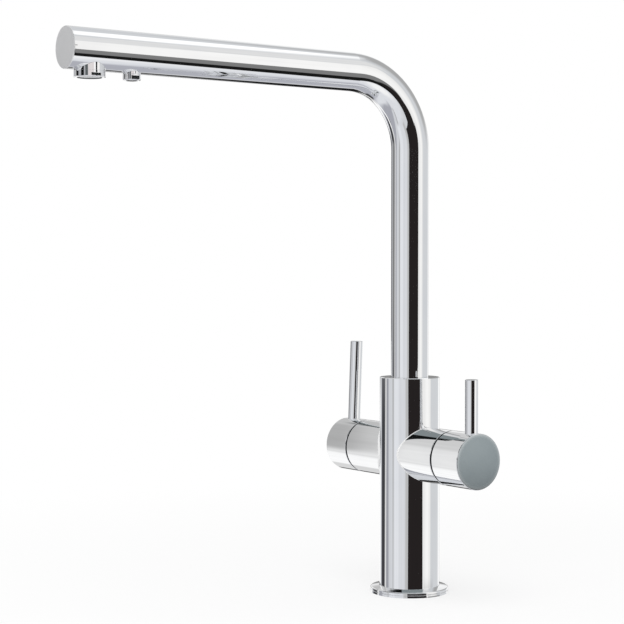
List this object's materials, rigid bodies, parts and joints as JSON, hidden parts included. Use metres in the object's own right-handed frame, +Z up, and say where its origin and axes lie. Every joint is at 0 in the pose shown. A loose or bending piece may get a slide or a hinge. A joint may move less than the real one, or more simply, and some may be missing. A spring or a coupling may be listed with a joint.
{
  "type": "three way filtered water tap",
  "caption": "Tall L-shaped kitchen tap: swivelling spout with separate mixed and filtered outlets, a mixer lever on one side and a filtered-water lever on the other.",
  "frame": {"origin": "middle of the tap's round seat, on the worktop plane", "axes": "+Z up along the column, -Y along the spout's arm towards its outlets, +X towards the mixer lever, -X towards the filtered-water lever"},
  "size_m": [0.1438, 0.279, 0.3565],
  "materials": {
    "chrome": "polished chrome plate",
    "brass": "machined",
    "copper": "drawn copper tube",
    "steel": "stainless screws",
    "rubber": "moulded seal",
    "ceramic": "lapped ceramic",
    "plastic": "moulded acetal",
    "pipe_plastic": "extruded tube"
  },
  "bodies": {
    "root": {"base_flange": "chrome", "column": "chrome", "mixer_housing": "chrome", "filter_housing": "chrome", "inlet_block": "brass", "valve_core": "brass", "mixer_retaining_nut": "brass", "filter_retaining_nut": "brass", "filter_gland": "brass", "hot_supply_tube": "copper", "cold_supply_tube": "copper", "filter_supply_tube": "copper", "locking_screw": "steel", "base_gasket": "rubber", "mixer_base_seal": "rubber", "filter_base_seal": "rubber", "filter_tube_ring": "rubber", "mixer_fixed_disc": "ceramic", "filter_fixed_disc": "ceramic", "mixer_cartridge": "plastic", "filter_cartridge": "plastic", "thrust_washer": "plastic", "guide_bush": "plastic"},
    "spout": {"spout_foot": "brass", "spout_foot_rings": "rubber", "spout_tube": "chrome", "spout_end_cap": "chrome", "filter_tube": "pipe_plastic", "main_outlet_boss": "chrome", "filter_outlet_boss": "chrome", "aerator_housing": "chrome", "aerator_insert": "plastic", "aerator_seal": "rubber", "filter_elbow": "brass", "filter_nozzle": "chrome", "filter_insert": "plastic"},
    "mixer_valve": {"mixer_turret": "brass", "mixer_moving_disc": "ceramic", "mixer_turret_ring": "rubber", "mixer_rocker_pin": "steel"},
    "mixer_handle": {"mixer_cap": "chrome", "mixer_lever": "chrome", "mixer_carrier": "brass", "mixer_grub_screw": "steel"},
    "filter_handle": {"filter_spindle": "brass", "filter_moving_disc": "ceramic", "filter_spindle_ring": "rubber", "filter_cap": "chrome", "filter_lever": "chrome", "filter_grub_screw": "steel"}
  },
  "joints": [
    {"name": "spout_swivel", "type": "hinge", "parent": "root", "child": "spout", "pos_m": [0, 0, 0.132], "axis": [0, 0, 1], "continuous": true},
    {"name": "mixer_temperature", "type": "hinge", "parent": "root", "child": "mixer_valve", "pos_m": [0.045, 0, 0.0935], "axis": [1, 0, 0], "range_deg": [-50, 50]},
    {"name": "mixer_flow", "type": "hinge", "parent": "mixer_valve", "child": "mixer_handle", "pos_m": [0.0484, 0, 0.0797], "axis": [0, 1, 0], "range_deg": [0, 20]},
    {"name": "filter_turn", "type": "hinge", "parent": "root", "child": "filter_handle", "pos_m": [-0.048, 0, 0.0935], "axis": [1, 0, 0], "range_deg": [0, 90]}
  ]
}
